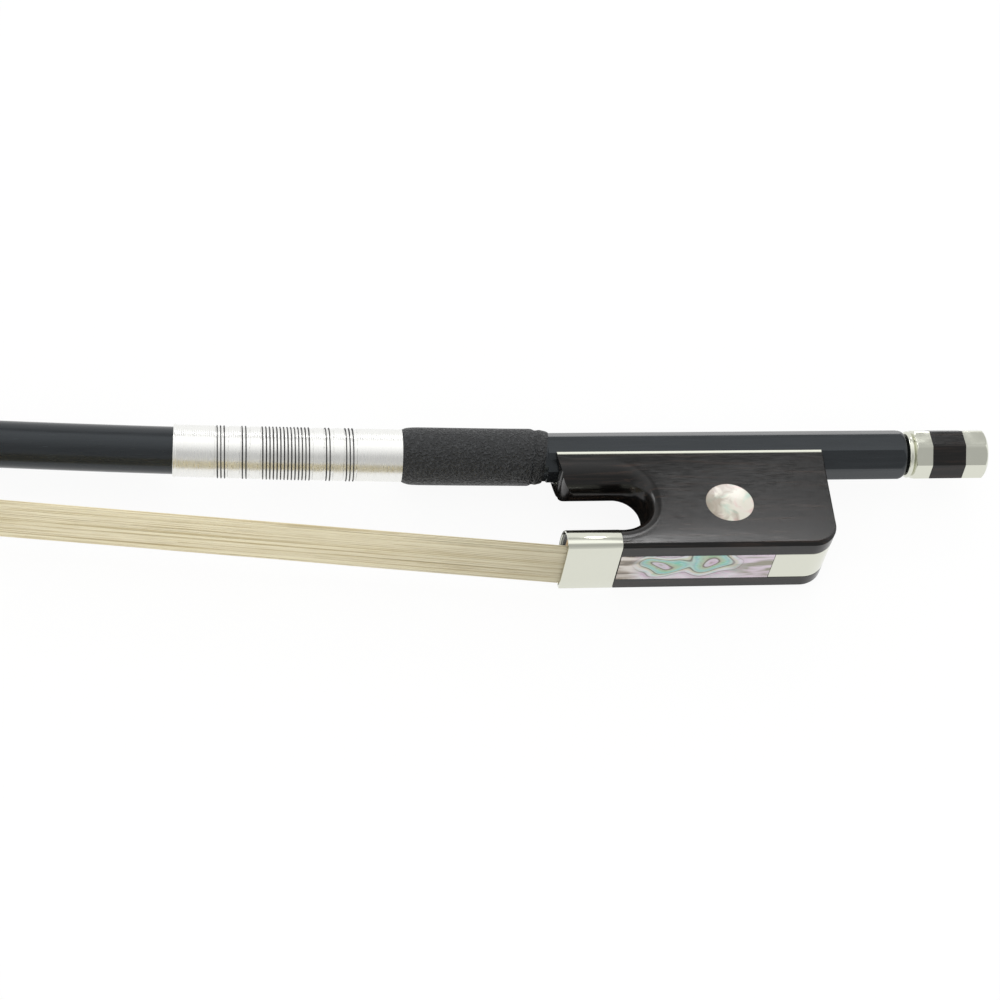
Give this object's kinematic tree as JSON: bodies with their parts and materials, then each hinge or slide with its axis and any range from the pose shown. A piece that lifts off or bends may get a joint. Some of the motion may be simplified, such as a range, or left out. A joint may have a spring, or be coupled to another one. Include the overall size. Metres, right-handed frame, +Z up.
{
  "type": "cello bow",
  "caption": "Cello bow lying on its side: slender cambered stick with carved head, ribbon of hair, frog with thumb throat sliding on the handle, screw button, leather grip and silver winding.",
  "frame": {"origin": "middle of the underside of the box round the whole bow, as it lies on its side", "axes": "+X along the handle towards the screw button, +Y from the hair towards the stick, +Z up across the bow"},
  "size_m": [0.7098, 0.0934, 0.0155],
  "materials": {
    "carbon_stick": "satin black",
    "ebony": "polished, nearly black",
    "nickel_silver": "polished, warm grey",
    "steel": "turned",
    "brass": "turned",
    "pearl": "polished, milky with green and pink",
    "shell": "polished, green and pink swirls",
    "horsehair": "fine straight strands, cream",
    "leather": "fine pebbled grain, black",
    "winding_wire": "bright, finely ribbed",
    "thread": "matt black",
    "plug_wood": "plain, pale",
    "liner": "polished black"
  },
  "bodies": {
    "stick": {"hair": "horsehair", "head_hair_knot": "horsehair", "head_liner": "liner", "head_plate": "nickel_silver", "head_plug": "plug_wood", "leather_grip": "leather", "stick": "carbon_stick", "thread_band_grip": "thread", "thread_band_middle": "thread", "thread_band_tip": "thread", "thread_pair_grip": "thread", "thread_pair_tip": "thread", "winding_sleeve": "winding_wire"},
    "frog": {"frog_body": "ebony", "underslide": "nickel_silver", "underslide_pin_1": "nickel_silver", "underslide_pin_2": "nickel_silver", "eyelet": "brass", "ferrule": "nickel_silver", "ferrule_wedge": "plug_wood", "frog_plug": "plug_wood", "frog_hair_knot": "horsehair", "slide_shell": "shell", "slide_backing": "ebony", "heel_plate": "nickel_silver", "heel_pin_upper": "nickel_silver", "heel_pin_lower": "nickel_silver", "eye_near": "pearl", "eye_far": "pearl"},
    "screw": {"screw": "steel", "button_front": "nickel_silver", "button_core": "ebony", "button_cap": "nickel_silver"}
  },
  "joints": [
    {"name": "button_turn", "type": "hinge", "parent": "stick", "child": "screw", "pos_m": [0.33931, -0.0222, 0.00775], "axis": [-1, 0, 0], "range_deg": [0, 2880]},
    {"name": "frog_slide", "type": "slide", "parent": "stick", "child": "frog", "axis": [1, 0, 0], "range_m": [0, 0.006], "deforming": ["hair"]}
  ],
  "couplings": [
    {"joint": "button_turn", "follows": "frog_slide", "rad_per_m": 8377.5}
  ]
}
